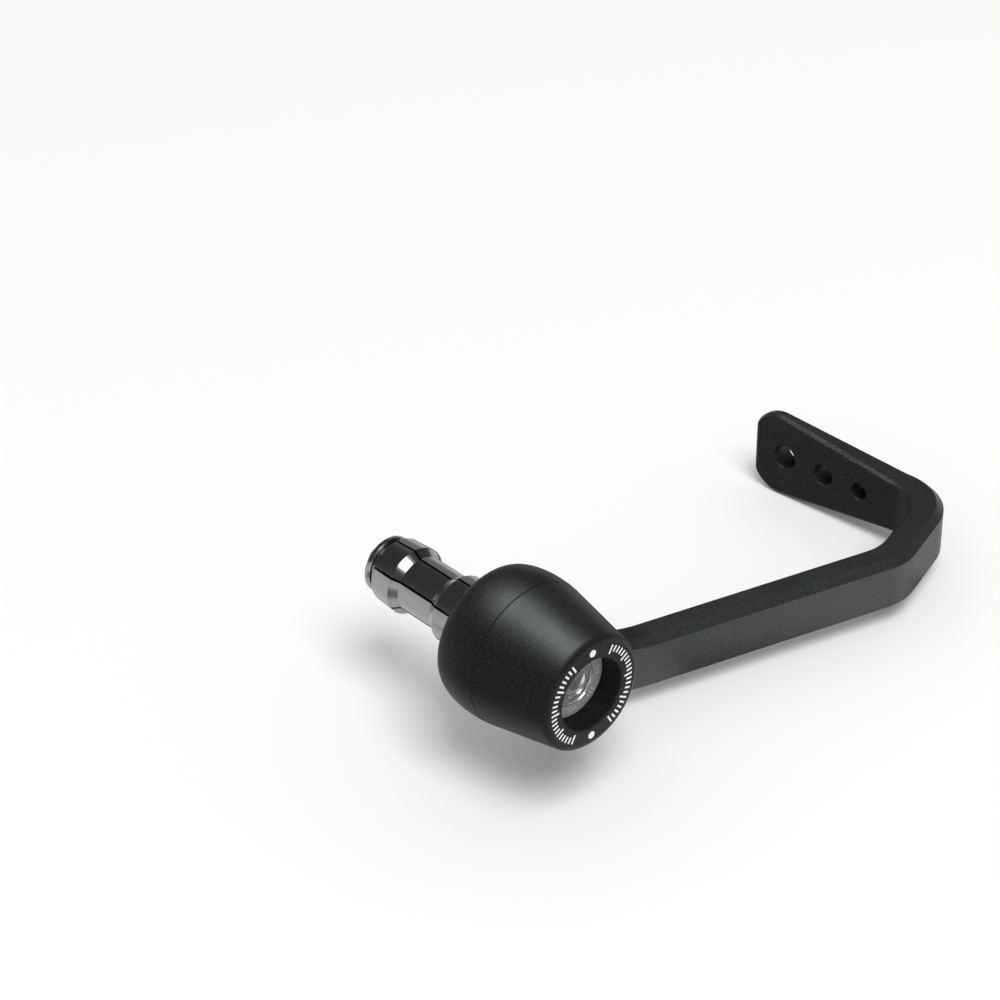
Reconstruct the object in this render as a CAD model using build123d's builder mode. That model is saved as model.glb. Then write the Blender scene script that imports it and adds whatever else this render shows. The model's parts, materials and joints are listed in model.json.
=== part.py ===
"""Bar-end brake lever guard for the right-hand end of a motorbike's handlebar.

Millimetres. The origin is on the bar axis in the plane of the bar's end. +X points out of the bar,
+Y points forward and +Z up. The expander goes into the bar towards -X and the arm reaches forward,
below the bar and round the tip of the brake lever.
"""
import os
from math import acos, cos, degrees, radians, sin, sqrt, tan

from build123d import *

os.makedirs("parts", exist_ok=True)

# Handlebar end and hub
bar_radius = 11.1
cone_length = 4.0
cone_tip_radius = 8.3
cone_seat_depth = 4.0
seat_clearance = 0.08
hub_face_radius = 15.1
hub_swell = 2.6
hub_swell_length = 8.7
hub_length = 12.7
register_radius = 8.0
register_depth = 2.5
register_clearance = 0.1
seam_bevel = 0.15

# Weight
weight_length = 19.5
weight_end_radius = 13.8
weight_edge_radius = 1.65
recess_radius = 8.7
recess_depth = 5.8
recess_bevel = 0.3

# Bolt and washer
bolt_radius = 3.0
thread_root_radius = 2.45
thread_start = 0.4
bolt_end_reach = 4.0
bolt_end_bevel = 0.6
bolt_clearance = 0.3
head_radius = 5.75
head_rim = 0.3
head_angle = 45.0
head_clearance = 0.08
socket_across_flats = 5.6
socket_depth = 3.2
socket_mouth_radius = 3.45
socket_bevel = 0.4
washer_thickness = 3.2
washer_clearance = 0.1

# Expander
jaw_count = 6
jaw_slot = 0.6
jaw_radius = 8.2
jaw_waist_radius = 6.85
jaw_outer_band = 5.3
jaw_outer_taper = 2.4
jaw_waist_length = 10.3
jaw_inner_taper = 1.9
jaw_inner_band = 5.9
jaw_band_drop = 0.4
jaw_end_bevel = 1.1
jaw_start_gap = 0.9
jaw_start_bevel = 0.35
wedge_angle = 15.0
wedge_length = 8.0
wedge_base_radius = 6.0
wedge_clearance = 0.12
wedge_gap = 1.0
nut_radius = 6.9
nut_thickness = 1.6
nut_bevel = 0.4
thread_clearance = 0.05

# Arm, seen from above
arm_lean = 14.8
arm_offset = -4.5
arm_thickness = 7.4
bend_reach = 103.2
bend_lean = 19.5
bend_run = 20.86
bend_thickness = 7.8
bend_inner_radius = 14.5
bend_outer_radius = 14.0
tip_inner_lean = 5.6
tip_outer_lean = 8.5
tip_thickness = 6.8
tip_inner_radius = 10.0
tip_outer_radius = 15.0

# Arm, seen from the side
arm_level = -21.8
arm_height = 14.3
arm_outer_bevel = 1.8
arm_inner_bevel = 0.75
neck_end = 39.0
neck_radius = 29.0
neck_sweep = 60.0
flare_gap = 0.1
flare_peak = 27.0
flare_half_height = 11.4
tip_outer_bevel = 3.0
tip_round_length = 7.5
tip_round_height = 6.8
tip_round_steps = 9
least_bevel = 0.1

# Holes in the tip: distance inwards from the bar's end, and diameter
tip_holes = [(25.3, 6.2), (13.5, 5.4), (2.7, 4.4)]
hole_bevel = 0.3

# Larger than any height or reach of the arm, for cuts that pass right through
through = 200.0
# How close an edge lies to a place for it to be chosen there
reach_tolerance = 0.01


def heading(angle):
    """Unit direction in plan, measured from +Y towards +X."""
    return Vector(sin(radians(angle)), cos(radians(angle)))


def crossing(start, direction, other_start, other_direction):
    """Point in plan where two lines meet."""
    span = other_start - start
    denominator = direction.X * other_direction.Y - direction.Y * other_direction.X
    distance = (span.X * other_direction.Y - span.Y * other_direction.X) / denominator
    return start + direction * distance


# Places along the bar axis
hub_end_radius = hub_face_radius + hub_swell * sqrt(1 - (hub_length / hub_swell_length - 1) ** 2)
weight_face = hub_length + weight_length
washer_face = weight_face - recess_depth
washer_seat = washer_face - washer_thickness
jaw_start = -cone_length - jaw_start_gap
jaw_taper_start = jaw_start - jaw_outer_band
jaw_waist_start = jaw_taper_start - jaw_outer_taper
jaw_waist_end = jaw_waist_start - jaw_waist_length
jaw_band_start = jaw_waist_end - jaw_inner_taper
jaw_band_end = jaw_band_start - jaw_inner_band
jaw_end = jaw_band_end - jaw_end_bevel
nut_front = jaw_end - wedge_gap
nut_face = nut_front - nut_thickness
bolt_end = nut_face - bolt_end_reach
wedge_slope = tan(radians(wedge_angle))
wedge_tip_radius = wedge_base_radius - wedge_length * wedge_slope
wedge_tip = nut_front + wedge_length
fixed_wedge_tip = -cone_length - wedge_length
bolt_hole_radius = bolt_radius + bolt_clearance
countersink_radius = head_radius + head_clearance / cos(radians(head_angle))
head_slope = tan(radians(head_angle))
countersink_depth = head_rim + (countersink_radius - bolt_hole_radius) / head_slope
wedge_gap_radius = wedge_clearance / cos(radians(wedge_angle))

# Lines of the arm's outline in plan and the corners where they meet, before these are rounded
arm_way = heading(arm_lean)
bend_way = heading(-bend_lean)
inner_tip_way = heading(90 - tip_inner_lean)
outer_tip_way = heading(90 - tip_outer_lean)
across = Vector(1, 0)
forward = Vector(0, 1)
arm_inner = Vector(arm_offset, 0)
arm_outer = Vector(arm_offset + arm_thickness / cos(radians(arm_lean)), 0)
bend_inner = crossing(arm_inner, arm_way, Vector(0, bend_reach), across)
bend_outer = bend_inner + Vector(bend_thickness / cos(radians(bend_lean)), 0)
tip_inner = Vector(0, bend_reach + bend_run)
tip_outer = tip_inner + Vector(0, tip_thickness)
inner_corner = crossing(bend_inner, bend_way, tip_inner, inner_tip_way)
outer_corner = crossing(bend_outer, bend_way, tip_outer, outer_tip_way)


def arc_end(corner, lean, radius):
    """How far out along the bar axis the rounding of one of the tip's corners ends."""
    run = radius * tan(radians(90 + lean - bend_lean) / 2)
    return corner.X - run * cos(radians(lean))


# The tip starts to flare where both of its corners have straightened out
inner_arc_end = arc_end(inner_corner, tip_inner_lean, tip_inner_radius)
outer_arc_end = arc_end(outer_corner, tip_outer_lean, tip_outer_radius)
flare_start = min(inner_arc_end, outer_arc_end) - flare_gap

# Outline of the level bar and its bend, from the neck to the place where the tip starts to flare
with BuildSketch() as bar_plan:
    with BuildLine():
        neck_line = Vector(0, neck_end)
        flare_line = Vector(flare_start, 0)
        inner_edge = FilletPolyline(
            crossing(arm_inner, arm_way, neck_line, across),
            bend_inner,
            inner_corner,
            crossing(tip_inner, inner_tip_way, flare_line, forward),
            radius=[bend_inner_radius, tip_inner_radius],
        )
        outer_edge = FilletPolyline(
            crossing(arm_outer, arm_way, neck_line, across),
            crossing(arm_outer, arm_way, bend_outer, bend_way),
            outer_corner,
            crossing(tip_outer, outer_tip_way, flare_line, forward),
            radius=[bend_outer_radius, tip_outer_radius],
        )
        Line(inner_edge @ 0, outer_edge @ 0)
        Line(inner_edge @ 1, outer_edge @ 1)
    make_face()


def bevel_over(part, line, bevel):
    """Bevel the edges of a part that lie above or below a line of the plan."""
    edges = part.edges().filter_by(
        lambda edge: line.distance_to(Vertex((edge @ 0.5).X, (edge @ 0.5).Y, 0)) < reach_tolerance
    )
    chamfer(edges.filter_by(Axis.Z, reverse=True), bevel)


# Level bar and bend
with BuildPart() as level_bar:
    with BuildSketch(Plane.XY.offset(arm_level - arm_height / 2)):
        add(bar_plan.sketch)
    extrude(amount=arm_height)
    bevel_over(level_bar, outer_edge, arm_outer_bevel)
    bevel_over(level_bar, inner_edge, arm_inner_bevel)

# Flared tip: eight-sided sections that grow taller, then round off to a bevelled end
tip_sections = [(flare_start, arm_height / 2, arm_outer_bevel)]
for step in range(tip_round_steps + 1):
    round_turn = radians(90 / tip_round_steps * step)
    section_place = -flare_peak - tip_round_length * sin(round_turn)
    section_half_height = flare_half_height - tip_round_height * (1 - cos(round_turn))
    tip_sections.append((section_place, section_half_height, tip_outer_bevel))
tip_end = flare_peak + tip_round_length

with BuildPart() as tip:
    for place, half_height, outer_bevel in tip_sections:
        from_end = place + tip_end
        inner_inset = max(arm_inner_bevel - from_end, 0)
        outer_inset = max(outer_bevel - from_end, 0)
        inner_bevel = max(arm_inner_bevel - inner_inset, least_bevel)
        outer_bevel = max(outer_bevel - outer_inset, least_bevel)
        inner_side = tip_inner.Y + place * tan(radians(tip_inner_lean)) + inner_inset
        outer_side = tip_outer.Y + place * tan(radians(tip_outer_lean)) - outer_inset
        inner_ridge = inner_side + inner_bevel / cos(radians(tip_inner_lean))
        outer_ridge = outer_side - outer_bevel / cos(radians(tip_outer_lean))
        with BuildSketch(Plane.YZ.offset(place)):
            with BuildLine():
                Polyline(
                    (inner_side, arm_level + half_height - inner_bevel),
                    (inner_ridge, arm_level + half_height),
                    (outer_ridge, arm_level + half_height),
                    (outer_side, arm_level + half_height - outer_bevel),
                    (outer_side, arm_level - half_height + outer_bevel),
                    (outer_ridge, arm_level - half_height),
                    (inner_ridge, arm_level - half_height),
                    (inner_side, arm_level - half_height + inner_bevel),
                    close=True,
                )
            make_face()
    loft(ruled=True)
    with BuildSketch(Plane.XZ):
        for hole_place, hole_diameter in tip_holes:
            with Locations((-hole_place, arm_level)):
                Circle(hole_diameter / 2)
    extrude(amount=-through, mode=Mode.SUBTRACT)
    inner_wall = tip.faces().filter_by(lambda face: face.inner_wires()).sort_by(Axis.Y)[0]
    chamfer(inner_wall.inner_wires().edges(), hole_bevel)

# Swan neck that rises from the level bar to the hub, and ends flush with the hub's inner face
with BuildPart() as neck:
    with BuildSketch(Plane.XY.offset(-through)):
        with BuildLine():
            hub_line = Vector(0, -hub_face_radius)
            neck_inner = Line(crossing(arm_inner, arm_way, hub_line, across), inner_edge @ 0)
            neck_outer = Line(crossing(arm_outer, arm_way, hub_line, across), outer_edge @ 0)
            Line(neck_inner @ 0, neck_outer @ 0)
            Line(neck_inner @ 1, neck_outer @ 1)
        make_face()
    extrude(amount=2 * through)
    with BuildSketch(Plane.YZ.offset(-through)):
        with BuildLine():
            neck_centre = (neck_end, arm_level + arm_height / 2 + neck_radius)
            neck_top = CenterArc(neck_centre, neck_radius, 270, -neck_sweep)
            neck_bottom = CenterArc(neck_centre, neck_radius + arm_height, 270, -neck_sweep)
            Line(neck_top @ 0, neck_bottom @ 0)
            Line(neck_top @ 1, neck_bottom @ 1)
        make_face()
    extrude(amount=2 * through, mode=Mode.INTERSECT)
    bevel_over(neck, neck_outer, arm_outer_bevel)
    bevel_over(neck, neck_inner, arm_inner_bevel)
    split(bisect_by=Plane.YZ, keep=Keep.TOP)

# The whole arm with the hub that it grows from, bored for the cone, the bolt and the weight's register
with BuildPart() as guard_arm:
    with BuildSketch():
        with BuildLine():
            swell_turn = degrees(acos(hub_length / hub_swell_length - 1))
            swell = EllipticalCenterArc(
                (hub_swell_length, hub_face_radius),
                hub_swell_length,
                hub_swell,
                swell_turn,
                arc_size=180 - swell_turn,
            )
            Polyline(swell @ 1, (0, 0), (hub_length, 0), swell @ 0)
        make_face()
    revolve(axis=Axis.X)
    chamfer(guard_arm.edges().filter_by(GeomType.CIRCLE).sort_by(Axis.X)[-1], seam_bevel)
    add(neck.part)
    add(level_bar.part)
    add(tip.part)
    with BuildSketch():
        with BuildLine():
            Polyline(
                (0, 0),
                (0, bar_radius + seat_clearance),
                (cone_seat_depth, bar_radius + seat_clearance),
                (cone_seat_depth, bolt_hole_radius),
                (hub_length - register_depth - register_clearance, bolt_hole_radius),
                (hub_length - register_depth - register_clearance, register_radius + register_clearance),
                (hub_length, register_radius + register_clearance),
                (hub_length, 0),
                close=True,
            )
        make_face()
    revolve(axis=Axis.X, mode=Mode.SUBTRACT)

# Tapered weight with a register into the hub and a round recess for the bolt's head
with BuildPart() as bar_end_weight:
    with BuildSketch():
        with BuildLine():
            Polyline(
                (hub_length - register_depth, bolt_hole_radius),
                (hub_length - register_depth, register_radius),
                (hub_length, register_radius),
                (hub_length, hub_end_radius),
                (weight_face, weight_end_radius),
                (weight_face, recess_radius),
                (washer_seat, recess_radius),
                (washer_seat, bolt_hole_radius),
                close=True,
            )
        make_face()
    revolve(axis=Axis.X)
    rims = bar_end_weight.edges().filter_by(GeomType.CIRCLE)
    face_rims = rims.group_by(Axis.X)[-1].sort_by(SortBy.RADIUS)
    seam_rims = rims.filter_by_position(Axis.X, hub_length - reach_tolerance, hub_length + reach_tolerance)
    fillet(face_rims[-1], weight_edge_radius)
    chamfer(face_rims[0], recess_bevel)
    chamfer(seam_rims.sort_by(SortBy.RADIUS)[-1], seam_bevel)

# Washer at the bottom of the recess, countersunk for the bolt
with BuildPart() as washer:
    with BuildSketch():
        with BuildLine():
            Polyline(
                (washer_seat, bolt_hole_radius),
                (washer_seat, recess_radius - washer_clearance),
                (washer_face, recess_radius - washer_clearance),
                (washer_face, countersink_radius),
                (washer_face - head_rim, countersink_radius),
                (washer_face - countersink_depth, bolt_hole_radius),
                close=True,
            )
        make_face()
    revolve(axis=Axis.X)

# Countersunk bolt with a hexagon socket, flush with the washer
with BuildPart() as clamp_bolt:
    with BuildSketch():
        with BuildLine():
            Polyline(
                (washer_face, 0),
                (washer_face, head_radius),
                (washer_face - head_rim, head_radius),
                (washer_face - head_rim - (head_radius - bolt_radius) / head_slope, bolt_radius),
                (nut_face - thread_start, bolt_radius),
                (nut_face - thread_start, thread_root_radius),
                (bolt_end + bolt_end_bevel, thread_root_radius),
                (bolt_end, thread_root_radius - bolt_end_bevel),
                (bolt_end, 0),
                close=True,
            )
        make_face()
    revolve(axis=Axis.X)
    with BuildSketch(Plane.YZ.offset(washer_face)):
        RegularPolygon(socket_across_flats / 2, 6, major_radius=False)
    extrude(amount=-socket_depth, mode=Mode.SUBTRACT)
    with BuildSketch():
        with BuildLine():
            Polyline(
                (washer_face, 0),
                (washer_face, socket_mouth_radius),
                (washer_face - socket_bevel, socket_mouth_radius - socket_bevel),
                (washer_face - socket_bevel, 0),
                close=True,
            )
        make_face()
    revolve(axis=Axis.X, mode=Mode.SUBTRACT)

# Cone that centres the guard in the bar's end, with the fixed wedge of the expander
with BuildPart() as bar_cone:
    with BuildSketch():
        with BuildLine():
            Polyline(
                (cone_seat_depth, bolt_hole_radius),
                (cone_seat_depth, bar_radius),
                (0, bar_radius),
                (-cone_length, cone_tip_radius),
                (-cone_length, wedge_base_radius),
                (fixed_wedge_tip, wedge_tip_radius),
                (fixed_wedge_tip, bolt_hole_radius),
                close=True,
            )
        make_face()
    revolve(axis=Axis.X)

# Nut with the moving wedge
with BuildPart() as wedge_nut:
    with BuildSketch():
        with BuildLine():
            Polyline(
                (nut_face, bolt_radius + thread_clearance),
                (nut_face, nut_radius - nut_bevel),
                (nut_face + nut_bevel, nut_radius),
                (nut_front - nut_bevel, nut_radius),
                (nut_front, nut_radius - nut_bevel),
                (nut_front, wedge_base_radius),
                (wedge_tip, wedge_tip_radius),
                (wedge_tip, bolt_radius + thread_clearance),
                close=True,
            )
        make_face()
    revolve(axis=Axis.X)

# Section of the six jaws: bands and waist outside, a wedge seat at each end inside
with BuildSketch() as jaw_section:
    with BuildLine():
        seat_start_radius = wedge_base_radius + wedge_gap_radius - jaw_start_gap * wedge_slope
        seat_end_radius = wedge_base_radius + wedge_gap_radius - wedge_gap * wedge_slope
        jaw_bore_radius = wedge_tip_radius + wedge_gap_radius
        Polyline(
            (jaw_start, seat_start_radius),
            (jaw_start, jaw_radius - jaw_start_bevel),
            (jaw_start - jaw_start_bevel, jaw_radius),
            (jaw_taper_start, jaw_radius),
            (jaw_waist_start, jaw_waist_radius),
            (jaw_waist_end, jaw_waist_radius),
            (jaw_band_start, jaw_radius),
            (jaw_band_end, jaw_radius - jaw_band_drop),
            (jaw_end, jaw_radius - jaw_band_drop - jaw_end_bevel),
            (jaw_end, seat_end_radius),
            (wedge_tip, jaw_bore_radius),
            (fixed_wedge_tip, jaw_bore_radius),
            close=True,
        )
    make_face()

# Each jaw is the sector between two slots of equal width
jaws = []
for jaw_number in range(jaw_count):
    jaw_turn = radians(360 / jaw_count * jaw_number)
    jaw_plane = Plane((jaw_end, 0, 0), x_dir=(0, cos(jaw_turn), sin(jaw_turn)), z_dir=(1, 0, 0))
    half_sector = radians(180 / jaw_count)
    sector_start = jaw_slot / 2 / sin(half_sector)
    sector_width = (through - sector_start) * tan(half_sector)
    with BuildPart() as jaw:
        revolve(jaw_section.sketch, axis=Axis.X)
        with BuildSketch(jaw_plane):
            with BuildLine():
                Polyline(
                    (sector_start, 0), (through, -sector_width), (through, sector_width), close=True
                )
            make_face()
        extrude(amount=jaw_start - jaw_end, mode=Mode.INTERSECT)
    jaw.part.label = f"jaw_{jaw_number + 1}"
    jaws.append(jaw.part)

guard_arm.part.label = "guard_arm"
bar_end_weight.part.label = "bar_end_weight"
washer.part.label = "washer"
clamp_bolt.part.label = "clamp_bolt"
bar_cone.part.label = "bar_cone"
wedge_nut.part.label = "wedge_nut"
export_step(guard_arm.part, "parts/guard_arm.step")
export_step(bar_end_weight.part, "parts/bar_end_weight.step")
export_step(washer.part, "parts/washer.step")
export_step(clamp_bolt.part, "parts/clamp_bolt.step")
export_step(bar_cone.part, "parts/bar_cone.step")
export_step(wedge_nut.part, "parts/wedge_nut.step")
for jaw_part in jaws:
    export_step(jaw_part, f"parts/{jaw_part.label}.step")
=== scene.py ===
# %% [markdown]
# # A bar-end brake lever guard, dressed in Blender
# The solids of the guard come from the CAD frame, already at their real size and place. This lesson adds
# what the solids leave out: the finish of every surface, the printed marks, the screw thread, two bright rims
# and a small white studio. Everything is in metres. The bar axis is X, forward is +Y and up is +Z.

# %% Load the frame
import json
import math

import bpy
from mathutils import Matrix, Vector


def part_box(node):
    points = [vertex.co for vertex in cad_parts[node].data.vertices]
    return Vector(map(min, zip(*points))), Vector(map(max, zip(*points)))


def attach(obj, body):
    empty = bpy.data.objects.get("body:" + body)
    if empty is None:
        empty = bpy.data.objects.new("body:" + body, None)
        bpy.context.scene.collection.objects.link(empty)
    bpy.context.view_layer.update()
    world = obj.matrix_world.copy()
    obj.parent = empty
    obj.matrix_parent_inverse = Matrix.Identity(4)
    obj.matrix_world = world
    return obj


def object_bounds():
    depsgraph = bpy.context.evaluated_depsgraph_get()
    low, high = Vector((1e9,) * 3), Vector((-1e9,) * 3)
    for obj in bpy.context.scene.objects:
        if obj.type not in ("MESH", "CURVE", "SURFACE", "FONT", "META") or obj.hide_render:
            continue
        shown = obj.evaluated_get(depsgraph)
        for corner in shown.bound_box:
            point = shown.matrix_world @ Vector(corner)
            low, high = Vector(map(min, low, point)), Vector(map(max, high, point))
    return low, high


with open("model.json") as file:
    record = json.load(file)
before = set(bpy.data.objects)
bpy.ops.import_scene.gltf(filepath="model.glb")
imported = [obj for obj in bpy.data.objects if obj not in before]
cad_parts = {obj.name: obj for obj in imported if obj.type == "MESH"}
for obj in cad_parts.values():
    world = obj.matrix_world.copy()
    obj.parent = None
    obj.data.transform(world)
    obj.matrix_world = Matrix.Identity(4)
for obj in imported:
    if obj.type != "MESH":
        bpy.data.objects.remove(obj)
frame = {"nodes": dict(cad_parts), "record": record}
nodes = frame["nodes"]
cad_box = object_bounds()
MM = 0.001
print("CAD nodes:", sorted(nodes))
print("CAD box in mm:", [[round(value / MM, 1) for value in corner] for corner in cad_box])

# %% [markdown]
# ## Camera
# A product picture is taken with a long lens from well back, so that parallel edges stay nearly parallel.
# The camera could be placed by three coordinates, but here it hangs on an arm that starts at the aim point:
# turning that arm by an azimuth and an elevation is easier to reason about.

# %% Camera
view_azimuth = math.radians(47.255)
view_elevation = math.radians(34.187)
view_distance = 0.78
aim_point = Vector((-0.0113, 0.0134, 0.0224))
lens_length = 127.8


def direction(azimuth, elevation):
    """Unit vector from the object towards a place at this azimuth and elevation."""
    flat = math.cos(elevation)
    return Vector((flat * math.sin(azimuth), -flat * math.cos(azimuth), math.sin(elevation)))


bpy.ops.object.select_all(action="DESELECT")
bpy.ops.object.camera_add(
    location=aim_point + view_distance * direction(view_azimuth, view_elevation),
    rotation=(math.pi / 2 - view_elevation, 0, view_azimuth),
)
camera = bpy.context.object
camera.data.lens = lens_length
bpy.context.scene.camera = camera
bpy.context.scene.view_settings.view_transform = "Standard"
print("camera at", [round(value, 3) for value in camera.location])

# %% [markdown]
# ## Paper floor
# The guard lies on a sheet of white paper that fills the picture. The white world alone could stand for it,
# but a real surface takes the soft shadow and gives its light back to the dark metal above it. The paper is
# matt: it has no specular part, so that no highlight of the lamp wanders over it.

# %% Paper floor
floor_gap = 0.05 * MM
floor_size = 8.0
paper_white = (0.95, 0.95, 0.95, 1)
paper_roughness = 0.9

bpy.ops.object.select_all(action="DESELECT")
bpy.ops.mesh.primitive_plane_add(size=floor_size, location=(0, 0, cad_box[0][2] - floor_gap))
floor = bpy.context.object
floor.name = "paper_floor"


def new_material(name):
    """A material with an empty Principled shader: its node tree and that shader are given back."""
    material = bpy.data.materials.new(name)
    material.use_nodes = True
    return material, material.node_tree, material.node_tree.nodes["Principled BSDF"]


paper, _, paper_shader = new_material("white_paper")
paper_shader.inputs["Base Color"].default_value = paper_white
paper_shader.inputs["Roughness"].default_value = paper_roughness
paper_shader.inputs["Specular IOR Level"].default_value = 0.0
floor.data.materials.append(paper)
print("floor at z =", round(floor.location.z / MM, 2), "mm")

# %% [markdown]
# ## White world
# Beyond the paper there is only white. What lights the guard and what is seen behind it need not be equally
# bright: the Light Path node tells the rays apart. Rays from the camera, and those that a mirror or a glass
# sends on, see a full white wall. All other rays find a softer fill light, so that the shadow keeps its depth.

# %% White world
fill_level = 0.52
wall_level = 1.0
white = (1, 1, 1, 1)
world = bpy.data.worlds.new("white_room")
bpy.context.scene.world = world
world.use_nodes = True
world_tree = world.node_tree
wall_light = world_tree.nodes["Background"]
wall_light.inputs["Color"].default_value = white
wall_light.inputs["Strength"].default_value = fill_level
wall_seen = world_tree.nodes.new("ShaderNodeBackground")
wall_seen.inputs["Color"].default_value = white
wall_seen.inputs["Strength"].default_value = wall_level
light_path = world_tree.nodes.new("ShaderNodeLightPath")
seen = light_path.outputs["Is Camera Ray"]
for ray in ("Is Glossy Ray", "Is Transmission Ray"):
    either = world_tree.nodes.new("ShaderNodeMath")
    either.operation = "MAXIMUM"
    world_tree.links.new(seen, either.inputs[0])
    world_tree.links.new(light_path.outputs[ray], either.inputs[1])
    seen = either.outputs[0]
wall_mix = world_tree.nodes.new("ShaderNodeMixShader")
world_tree.links.new(seen, wall_mix.inputs[0])
world_tree.links.new(wall_light.outputs[0], wall_mix.inputs[1])
world_tree.links.new(wall_seen.outputs[0], wall_mix.inputs[2])
world_tree.links.new(wall_mix.outputs[0], world_tree.nodes["World Output"].inputs["Surface"])
print("fill light", fill_level, "behind a wall of", wall_level)

# %% [markdown]
# ## Softbox
# One large softbox gives the soft shadow. It hangs high on the camera's side and a little to the right, so
# the shadow stays close under the guard and the tapers of the jaws flash white. Its place is written with the
# camera's right and forward directions, so it follows when the azimuth above is changed.

# %% Softbox
right_of_view = Vector((math.cos(view_azimuth), math.sin(view_azimuth), 0))
away_from_view = Vector((-math.sin(view_azimuth), math.cos(view_azimuth), 0))
key_right, key_back, key_height = 0.6, 1.8, 3.3
key_place = key_right * right_of_view - key_back * away_from_view + Vector((0, 0, key_height))
key_size = 1.8
key_watts = 98.0


def facing_aim(place):
    """The turn that points something's -Z at the aim point."""
    return (aim_point - place).to_track_quat("-Z", "Y").to_euler()


bpy.ops.object.select_all(action="DESELECT")
bpy.ops.object.light_add(type="AREA", location=key_place, rotation=facing_aim(key_place))
key_lamp = bpy.context.object
key_lamp.name = "key_softbox"
key_lamp.data.size = key_size
key_lamp.data.energy = key_watts
print("key softbox at", [round(value, 2) for value in key_place])

# %% [markdown]
# ## Cards for reflections
# Polished steel and black coats are lit by what they mirror, so a photographer stands white, grey and black
# cards round them. Here a card is a plane of one brightness that only reflections see: it throws no shadow and
# leaves the paper as it is. Light linking goes one step further and says which solids a card may light.

# %% A card and what it may light
def mirror_card(name, place, turn, size, level):
    """A card of one brightness that only reflections see. Its size is its width and its depth."""
    bpy.ops.object.select_all(action="DESELECT")
    bpy.ops.mesh.primitive_plane_add(size=1, location=place, rotation=turn)
    card = bpy.context.object
    card.name = name
    card.scale = (*size, 1)
    material, _, shader = new_material(name)
    shader.inputs["Base Color"].default_value = (0, 0, 0, 1)
    shader.inputs["Specular IOR Level"].default_value = 0.0
    shader.inputs["Emission Color"].default_value = white
    shader.inputs["Emission Strength"].default_value = level
    card.data.materials.append(material)
    card.visible_camera = False
    card.visible_diffuse = False
    card.visible_shadow = False
    card.visible_transmission = False
    print(name, "at", [round(value, 3) for value in place])
    return card


def lit_solids(name, node_names):
    """A collection of the solids that a card may light."""
    solids = bpy.data.collections.new(name)
    for node_name in node_names:
        solids.objects.link(nodes[node_name])
    return solids


# %% [markdown]
# ## Cards in the air
# A dim ceiling hangs above the softbox, because polished steel only looks like steel when it has something
# dark to mirror, and a grey card behind the guard lights the far jaws. The arm is kept out of that one, or its
# flat top would turn grey. The sheen card draws the streak along the weight, and the bevel card lifts the long
# bevel of the arm. The steel is kept out of these two, because it would mirror them as hard white spots.

# %% Cards in the air
ceiling_place = Vector((0, 0, 3.6))
mirror_card("ceiling_card", ceiling_place, (math.pi, 0, 0), size=(40.0, 40.0), level=0.085)
back_place = Vector((-1.95, 2.25, 1.12))
back_card = mirror_card("back_card", back_place, facing_aim(back_place), size=(3.2, 1.9), level=0.35)
all_but_arm = [node_name for node_name in nodes if node_name != "guard_arm"]
back_card.light_linking.receiver_collection = lit_solids("round_pieces", all_but_arm)
sheen_place = Vector((-0.25, 0.0, 0.97))
sheen_card = mirror_card("sheen_card", sheen_place, facing_aim(sheen_place), size=(0.55, 0.45), level=39.0)
coated_pieces = lit_solids("coated_pieces", ("guard_arm", "bar_end_weight"))
sheen_card.light_linking.receiver_collection = coated_pieces
bevel_place = Vector((0.56, 0.56, 0.6))
bevel_card = mirror_card("bevel_card", bevel_place, facing_aim(bevel_place), size=(0.5, 0.5), level=0.9)
bevel_card.light_linking.receiver_collection = coated_pieces

# %% [markdown]
# ## Cards on the floor
# Upright walls mirror the floor in front of them, so their tone is set by cards that lie there. A bright one
# to the right of the arm lights its long outer wall, a dark one in front of the tip keeps its inner wall
# black, and two more do the same for the weight's printed face and for its shaded side. The face card lies on
# the bright one, so it is half a millimetre higher.

# %% Cards on the floor
card_lift = 0.5 * MM
card_height = floor.location.z + card_lift
bright_turn = (0, 0, math.radians(-15))
no_turn = (0, 0, 0)
arm_side = Vector((0.15, 0.075, card_height))
mirror_card("bright_card", arm_side, bright_turn, size=(0.24, 0.19), level=2.1)
tip_front = Vector((-0.05, 0.085, card_height))
mirror_card("black_card", tip_front, no_turn, size=(0.16, 0.075), level=0.3)
face_front = Vector((0.073, 0.033, card_height + card_lift))
mirror_card("face_card", face_front, no_turn, size=(0.044, 0.056), level=0.15)
weight_side = Vector((-0.005, -0.1, card_height))
mirror_card("dim_card", weight_side, no_turn, size=(0.08, 0.12), level=0.3)

# %% [markdown]
# ## Noise and ranges
# No finish on the guard is one flat tone: coats have a grain, metal has tool marks, ink has wear. All of them
# start as a noise texture, which could be painted by hand but is made by nodes here, because nodes need no
# image and keep the real size of the grain. A second helper spreads a part of the noise over a range.

# %% Noise and ranges
noise_detail = 2.0
noise_span = (0.3, 0.7)


def link(tree, output, target):
    """Join the output of one node to the input of another."""
    tree.links.new(output, target)


def noise(tree, coordinate, size):
    """A noise texture on the piece's own coordinates, with the size of its grain in metres."""
    node = tree.nodes.new("ShaderNodeTexNoise")
    node.inputs["Scale"].default_value = 1 / size
    node.inputs["Detail"].default_value = noise_detail
    link(tree, coordinate, node.inputs["Vector"])
    return node.outputs["Fac"]


def ramp(tree, value, span, results):
    """A value that goes through the results while another goes through the span."""
    node = tree.nodes.new("ShaderNodeMapRange")
    node.inputs["From Min"].default_value, node.inputs["From Max"].default_value = span
    node.inputs["To Min"].default_value, node.inputs["To Max"].default_value = results
    link(tree, value, node.inputs["Value"])
    return node.outputs["Result"]


# %% [markdown]
# ## Tones and colours
# A finish often lies between two others: between dark and light, or between the look of the hub and that of
# the arm. A Mix node blends two greys or two colours, and a Color Ramp turns the noise into specks of colour
# with edges as soft as its two stops are far apart.

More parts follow.
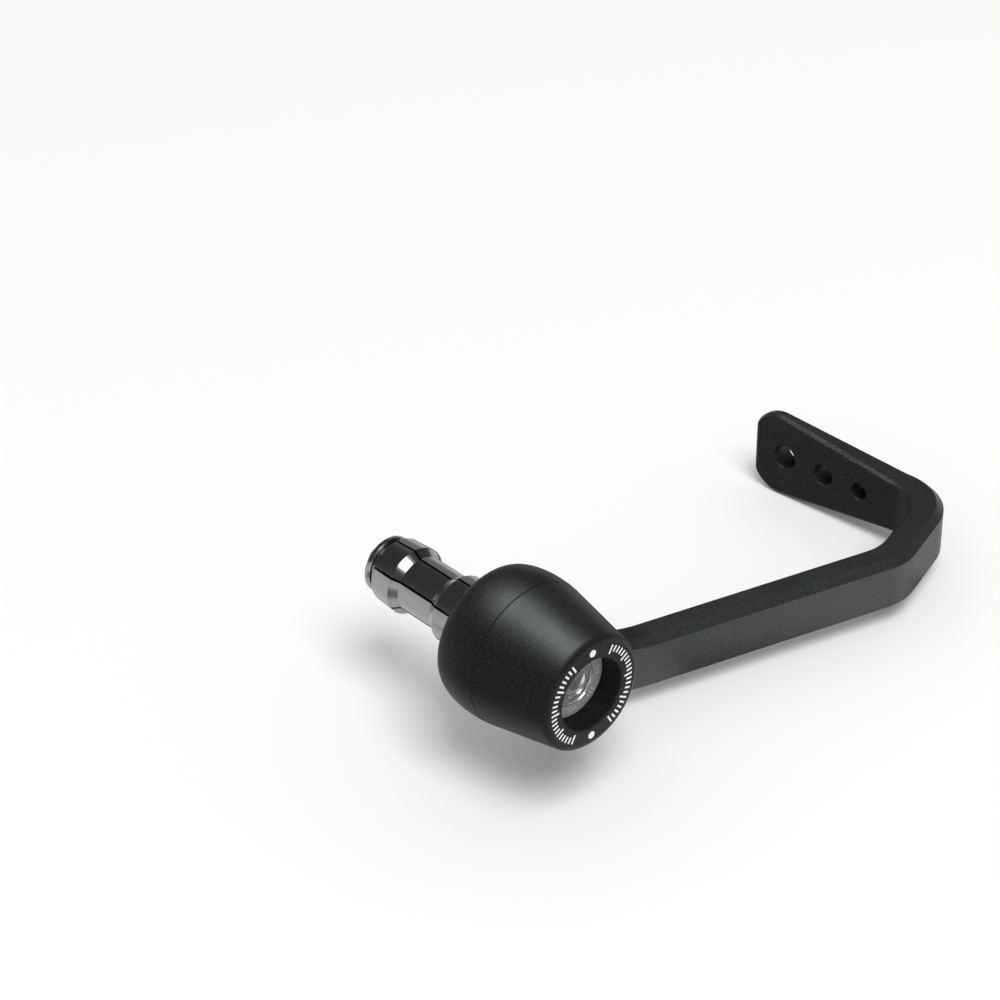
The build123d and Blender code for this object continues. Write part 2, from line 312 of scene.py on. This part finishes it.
# %% Tones and colours
def two_tone(tree, value, dark, light):
    """A grey that goes from one tone to another with a value. Each tone is a number or a socket."""
    node = tree.nodes.new("ShaderNodeMix")
    link(tree, value, node.inputs["Factor"])
    for tone, target in ((dark, node.inputs["A"]), (light, node.inputs["B"])):
        if isinstance(tone, float):
            target.default_value = tone
        else:
            link(tree, tone, target)
    return node.outputs["Result"]


def two_colours(tree, value, span, colours):
    """A colour that goes from one to another while a value goes through the span."""
    node = tree.nodes.new("ShaderNodeValToRGB")
    for element, position, colour in zip(node.color_ramp.elements, span, colours):
        element.position = position
        element.color = (*colour, 1)
    link(tree, value, node.inputs["Fac"])
    return node.outputs["Color"]


def blend_colours(tree, value, first, second):
    """The first colour where a value is 0 and the second where it is 1."""
    node = tree.nodes.new("ShaderNodeMix")
    node.data_type = "RGBA"
    colours = [socket for socket in node.inputs if socket.type == "RGBA"]
    link(tree, value, node.inputs["Factor"])
    link(tree, first, colours[0])
    link(tree, second, colours[1])
    return [socket for socket in node.outputs if socket.type == "RGBA"][0]


# %% [markdown]
# ## Relief
# The grain of a coat and the rings of a lathe are only hundredths of a millimetre high. Real geometry of that
# size would cost millions of faces, so a Bump node tilts the shading instead, by a depth in real metres.

# %% Relief
def bump(tree, height, depth, shader):
    """Raise the surface by a height from 0 to 1. The depth in metres is a number or a socket."""
    node = tree.nodes.new("ShaderNodeBump")
    node.inputs["Strength"].default_value = 1.0
    if isinstance(depth, float):
        node.inputs["Distance"].default_value = depth
    else:
        link(tree, depth, node.inputs["Distance"])
    link(tree, height, node.inputs["Height"])
    link(tree, node.outputs["Normal"], shader.inputs["Normal"])


# %% [markdown]
# ## Powder coat on the weight
# The weight is coated deep satin black. Powder melts into a skin with an orange-peel grain of about a third of
# a millimetre, which breaks a highlight into sparkle. One fine noise makes that grain, in colour and in
# relief, and a wide one makes the slow drift in gloss that no real coat is free of. The black is a little
# cool, and so is its highlight.

# %% Powder coat on the weight
grain_size = 0.34 * MM
drift_size = 20 * MM
cool_tint = (0.94, 1.0, 1.02, 1)
weight_colours = ((0.003, 0.0034, 0.0036), (0.014, 0.016, 0.017))
weight_specks = (0.45, 0.65)
weight_roughness = (0.44, 0.5)
weight_gloss = 0.13
weight_grain = 0.04 * MM


def powder_coat(name):
    """A bare coat: its material, tree, shader, own coordinates, fine grain and slow drift in gloss."""
    material, tree, shader = new_material(name)
    place = tree.nodes.new("ShaderNodeTexCoord").outputs["Object"]
    shader.inputs["Specular Tint"].default_value = cool_tint
    return material, tree, shader, place, noise(tree, place, grain_size), noise(tree, place, drift_size)


def weight_look(tree, grain, drift):
    """Colour and roughness of the deep satin black."""
    colour = two_colours(tree, grain, weight_specks, weight_colours)
    return colour, ramp(tree, drift, noise_span, weight_roughness)


weight_coat, tree, shader, _, grain, drift = powder_coat("weight_coat")
colour, roughness = weight_look(tree, grain, drift)
link(tree, colour, shader.inputs["Base Color"])
link(tree, roughness, shader.inputs["Roughness"])
shader.inputs["Specular IOR Level"].default_value = weight_gloss
bump(tree, grain, weight_grain, shader)
print("coat:", weight_coat.name)

# %% [markdown]
# ## Powder coat on the arm
# The hub of the arm looks like the weight beside it. Along the bar the same powder is glossier and coarser,
# and its colour is a lighter copy of the weight's: painted light that makes the arm look more lit than the hub
# beside the weight. Two materials on one solid would show a border, so one material goes from the first look
# to the second with the distance forward of the bar axis.

# %% Powder coat on the arm
hub_to_bar = (20 * MM, 34 * MM)
# Painted light: the same coat as the weight, copied lighter so that the arm looks more lit than the hub.
arm_lit_colours = ((0.0052, 0.0059, 0.0062), (0.0215, 0.0240, 0.0250))
arm_specks = (0.48, 0.64)
arm_roughness = (0.34, 0.4)
arm_gloss = 0.3
arm_grain = 0.065 * MM

arm_coat, tree, shader, place, grain, drift = powder_coat("arm_coat")
axes = tree.nodes.new("ShaderNodeSeparateXYZ")
link(tree, place, axes.inputs[0])
on_arm = ramp(tree, axes.outputs["Y"], hub_to_bar, (0, 1))
hub_colour, hub_rough = weight_look(tree, grain, drift)
arm_lit_colour = two_colours(tree, grain, arm_specks, arm_lit_colours)
arm_rough = ramp(tree, drift, noise_span, arm_roughness)
# The blend paints the arm lighter than the hub: painted light, not a different powder.
link(tree, blend_colours(tree, on_arm, hub_colour, arm_lit_colour), shader.inputs["Base Color"])
link(tree, two_tone(tree, on_arm, hub_rough, arm_rough), shader.inputs["Roughness"])
shader.inputs["Specular IOR Level"].default_value = arm_gloss
link(tree, ramp(tree, on_arm, (0, 1), (weight_gloss, arm_gloss)), shader.inputs["Specular IOR Level"])
bump(tree, grain, ramp(tree, on_arm, (0, 1), (weight_grain, arm_grain)), shader)
print("coat:", arm_coat.name)

# %% [markdown]
# ## Tool rings
# The cone, the jaws, the nut, the screw and the washer are turned on a lathe. The tool leaves fine rings:
# lines round a cylinder, circles on a flat end. One number does for both, the distance along the axis plus
# the distance from it, because on a cylinder only the first changes and on an end face only the second. A
# noise in one dimension along that number gives rings that are never quite even.

# %% Tool rings
ring_pitch = 0.15 * MM
ring_detail = 3.0


def lathe_position(tree, place):
    """Distance along the bar axis plus distance from it."""
    split = tree.nodes.new("ShaderNodeSeparateXYZ")
    link(tree, place, split.inputs[0])
    across = tree.nodes.new("ShaderNodeCombineXYZ")
    link(tree, split.outputs["Y"], across.inputs["Y"])
    link(tree, split.outputs["Z"], across.inputs["Z"])
    radius = tree.nodes.new("ShaderNodeVectorMath")
    radius.operation = "LENGTH"
    link(tree, across.outputs[0], radius.inputs[0])
    total = tree.nodes.new("ShaderNodeMath")
    total.operation = "ADD"
    link(tree, split.outputs["X"], total.inputs[0])
    link(tree, radius.outputs["Value"], total.inputs[1])
    return total.outputs[0]


def tool_rings(tree, position):
    """Uneven rings about one pitch apart."""
    node = tree.nodes.new("ShaderNodeTexNoise")
    node.noise_dimensions = "1D"
    node.inputs["Scale"].default_value = 1 / ring_pitch
    node.inputs["Detail"].default_value = ring_detail
    link(tree, position, node.inputs["W"])
    return node.outputs["Fac"]


# %% [markdown]
# ## Turned metals
# The expander is polished until the rings hardly show, the screw is bright, and the washer is anodised to a
# dull grey. They differ only in tone, polish and depth of the rings, so one function makes all three. A noise
# of a few millimetres changes the polish from place to place, as hands and cloth do.

# %% Turned metals
smear_size = 3 * MM
smear_change = 0.03


def turned_metal(name, tones, polish, metal, ring_depth):
    """Metal with tool rings between two grey tones, at a roughness."""
    material, tree, shader = new_material(name)
    place = tree.nodes.new("ShaderNodeTexCoord").outputs["Object"]
    rings = tool_rings(tree, lathe_position(tree, place))
    link(tree, two_tone(tree, ramp(tree, rings, noise_span, (0, 1)), *tones), shader.inputs["Base Color"])
    polish_range = (polish - smear_change, polish + smear_change)
    smear = ramp(tree, noise(tree, place, smear_size), noise_span, polish_range)
    link(tree, smear, shader.inputs["Roughness"])
    shader.inputs["Metallic"].default_value = metal
    bump(tree, rings, ring_depth, shader)
    return material


polished = turned_metal("polished_steel", (0.28, 0.34), polish=0.22, metal=1.0, ring_depth=0.0006 * MM)
bolt_steel = turned_metal("bolt_steel", (0.6, 0.72), polish=0.24, metal=0.8, ring_depth=0.0001 * MM)
grey_washer = turned_metal("grey_anodised", (0.38, 0.46), polish=0.45, metal=0.3, ring_depth=0.0006 * MM)
print("metals:", polished.name, bolt_steel.name, grey_washer.name)

# %% [markdown]
# ## Dress the solids
# Each CAD solid keeps its mesh and only changes its finish. The record lists which slot every solid takes,
# so a table from slot to material is enough, and a new solid in the record is dressed by itself.

# %% Dress the solids
finishes = {
    "arm_black": arm_coat,
    "weight_black": weight_coat,
    "washer_grey": grey_washer,
    "bolt_steel": bolt_steel,
    "cone_steel": polished,
    "nut_steel": polished,
    "jaw_steel": polished,
}
for part in frame["record"]["subparts"]:
    finish = finishes[part["material_slot"]]
    for material_slot in nodes[part["node"]].material_slots:
        material_slot.material = finish
    print(part["node"], "->", finish.name)

# %% [markdown]
# ## White ink
# The weight's face and the washer carry white print. Print could be a pattern in the coat's material, but a
# skin of ink has an edge and a thickness, so a mark is a flat block a few hundredths of a millimetre proud of
# its face. A soft noise makes the ink thinner here and there.

# %% White ink
ink_height = 0.03 * MM
ink_sink = 0.01 * MM
ink_patch = 0.6 * MM
ink_tones = (0.72, 0.86)
ink_roughness = 0.5

ink, ink_tree, ink_shader = new_material("white_ink")
ink_place = ink_tree.nodes.new("ShaderNodeTexCoord").outputs["Object"]
ink_wear = ramp(ink_tree, noise(ink_tree, ink_place, ink_patch), noise_span, ink_tones)
link(ink_tree, ink_wear, ink_shader.inputs["Base Color"])
ink_shader.inputs["Roughness"].default_value = ink_roughness
print("ink stands", round((ink_height - ink_sink) / MM, 3), "mm proud")

# %% [markdown]
# ## Ticks and dots
# A mark is a tick or a round dot. Each block is added at its real size and turned round the bar axis to its
# place, which is simpler than drawing one flat outline. All the blocks of one face are then joined into one
# piece, whose place is applied to its mesh.

# %% Ticks and dots
dot_sides = 24


def ink_spot(face, radius, angle):
    """Centre of a mark on a face that looks out along the bar axis."""
    return (face + ink_height / 2 - ink_sink, radius * math.cos(angle), radius * math.sin(angle))


def ink_tick(face, outer_radius, angle, length, width):
    """One tick that points away from the bar axis and ends at the outer radius."""
    bpy.ops.object.select_all(action="DESELECT")
    bpy.ops.mesh.primitive_cube_add(
        size=1, location=ink_spot(face, outer_radius - length / 2, angle), rotation=(angle, 0, 0)
    )
    tick = bpy.context.object
    tick.scale = (ink_height, length, width)
    return tick


def ink_dot(face, radius, angle, dot_radius):
    """One round mark."""
    bpy.ops.object.select_all(action="DESELECT")
    bpy.ops.mesh.primitive_cylinder_add(
        vertices=dot_sides, radius=dot_radius, depth=ink_height,
        location=ink_spot(face, radius, angle), rotation=(0, math.pi / 2, 0),
    )
    return bpy.context.object


def join_marks(name, marks):
    """Make one piece of several marks, with its place in its mesh."""
    bpy.ops.object.select_all(action="DESELECT")
    for mark in marks:
        mark.select_set(True)
    bpy.context.view_layer.objects.active = marks[0]
    bpy.ops.object.join()
    bpy.ops.object.transform_apply(location=True, rotation=True, scale=True)
    piece = bpy.context.object
    piece.name = name
    piece.data.materials.clear()
    piece.data.materials.append(ink)
    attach(piece, "guard")
    print(name, "has", len(marks), "marks")


# %% [markdown]
# ## Scale on the weight
# The flat ring round the recess carries a printed scale: two arcs of ticks, the fifth ones longer, and a dot
# above and below between them. Counting from the middle of an arc to both sides keeps the scale even.

# %% Scale on the weight
weight_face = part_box("bar_end_weight")[1].x
scale_radius = 11.9 * MM
scale_half = 10
scale_step = math.radians(6)
long_every = 5
long_tick, short_tick, tick_width = 2.2 * MM, 1.5 * MM, 0.45 * MM
dot_ring, dot_radius = 10.9 * MM, 0.9 * MM

weight_marks = []
for arc_middle in (0, math.pi):
    for count in range(-scale_half, scale_half + 1):
        tick_length = long_tick if count % long_every == 0 else short_tick
        tick_angle = arc_middle + count * scale_step
        weight_marks.append(ink_tick(weight_face, scale_radius, tick_angle, tick_length, tick_width))
for dot_angle in (math.pi / 2, -math.pi / 2):
    weight_marks.append(ink_dot(weight_face, dot_ring, dot_angle, dot_radius))
join_marks("weight_scale", weight_marks)

# %% [markdown]
# ## Marks on the washer
# The washer at the bottom of the recess has small marks of its own: groups of three short ticks, eight times
# round the screw's head. They use the same tick as the weight, only finer.

# %% Marks on the washer
washer_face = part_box("washer")[1].x
washer_radius = 7.8 * MM
group_count = 8
group_step = 45
side_step = 7
fine_tick, fine_width = 1.0 * MM, 0.22 * MM

washer_marks = []
for group in range(group_count):
    for side in (-1, 0, 1):
        mark_angle = math.radians(group_step * group + side_step * side)
        washer_marks.append(ink_tick(washer_face, washer_radius, mark_angle, fine_tick, fine_width))
join_marks("washer_marks", washer_marks)

# %% [markdown]
# ## Screw thread
# The end of the bolt stands out beyond the wedge nut and shows its thread. A thread is one small triangle
# carried round the axis while it moves along it, which is just what the Screw modifier does. The CAD bolt is
# turned down to the root of the thread here, so the ridge stands on it up to just under 6 mm. A triangle in a
# circle is one and a half radii high, which gives the circle's size.

# %% Screw thread
thread_pitch = 1.0 * MM
thread_turns = 2
thread_steps = 36
crest_radius = 2.98 * MM
ridge_height = 0.55 * MM
radii_high = 1.5
ridge_size = ridge_height / radii_high
end_gap = 1.0 * MM
thread_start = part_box("clamp_bolt")[0].x + end_gap
smooth_below = math.radians(30)

bpy.ops.object.select_all(action="DESELECT")
bpy.ops.mesh.primitive_circle_add(
    vertices=3, radius=ridge_size, fill_type="NOTHING",
    location=(thread_start, crest_radius - ridge_size, 0),
)
thread = bpy.context.object
thread.name = "bolt_thread"
bpy.ops.object.transform_apply(location=True, rotation=True, scale=True)
screw = thread.modifiers.new("thread", "SCREW")
screw.axis = "X"
screw.screw_offset = thread_pitch
screw.iterations = thread_turns
screw.steps = thread_steps
screw.render_steps = thread_steps
bpy.ops.object.modifier_apply(modifier=screw.name)
bpy.ops.object.mode_set(mode="EDIT")
bpy.ops.mesh.select_all(action="SELECT")
bpy.ops.mesh.fill_holes(sides=3)
bpy.ops.mesh.normals_make_consistent(inside=False)
bpy.ops.object.mode_set(mode="OBJECT")
bpy.ops.object.shade_smooth_by_angle(angle=smooth_below)
thread.data.materials.append(bolt_steel)
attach(thread, "bolt")
print("thread of", thread_turns, "turns,", len(thread.data.polygons), "faces")

# %% [markdown]
# ## Bright rims of the screw head
# Two fine rims of the screw catch the light at the bottom of the recess: the mouth of the hexagon socket and
# the edge of the head. A sharp edge has no width to shine, so each rim gets a lip a few tenths of a millimetre
# high, with a steep inner side that looks up into the light. It is made as the thread is, from one triangle
# and a Screw modifier, with its crest turned out of the face and no lead. The two ends of the turn meet, so
# the points of that seam are merged.

# %% Bright rims of the screw head
head_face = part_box("washer")[1].x
lip_steps = 96
seam_gap = 0.001 * MM


def rim_lip(name, radius, size):
    """A three-sided lip on the screw head's face, at a radius round the bar axis."""
    base_depth, sink = size / 2, size / 4
    bpy.ops.object.select_all(action="DESELECT")
    bpy.ops.mesh.primitive_circle_add(
        vertices=3, radius=size, fill_type="NOTHING",
        location=(head_face + base_depth - sink, radius, 0), rotation=(0, 0, -math.pi / 2),
    )
    lip = bpy.context.object
    lip.name = name
    bpy.ops.object.transform_apply(location=True, rotation=True, scale=True)
    turn = lip.modifiers.new("turn", "SCREW")
    turn.axis = "X"
    turn.screw_offset = 0.0
    turn.steps = lip_steps
    turn.render_steps = lip_steps
    bpy.ops.object.modifier_apply(modifier=turn.name)
    bpy.ops.object.mode_set(mode="EDIT")
    bpy.ops.mesh.select_all(action="SELECT")
    bpy.ops.mesh.remove_doubles(threshold=seam_gap)
    bpy.ops.mesh.normals_make_consistent(inside=False)
    bpy.ops.object.mode_set(mode="OBJECT")
    bpy.ops.object.shade_smooth_by_angle(angle=smooth_below)
    lip.data.materials.append(bolt_steel)
    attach(lip, "bolt")
    print(name, "of", len(lip.data.polygons), "faces")


rim_lip("socket_rim", radius=3.7 * MM, size=0.26 * MM)
rim_lip("head_rim", radius=5.5 * MM, size=0.2 * MM)
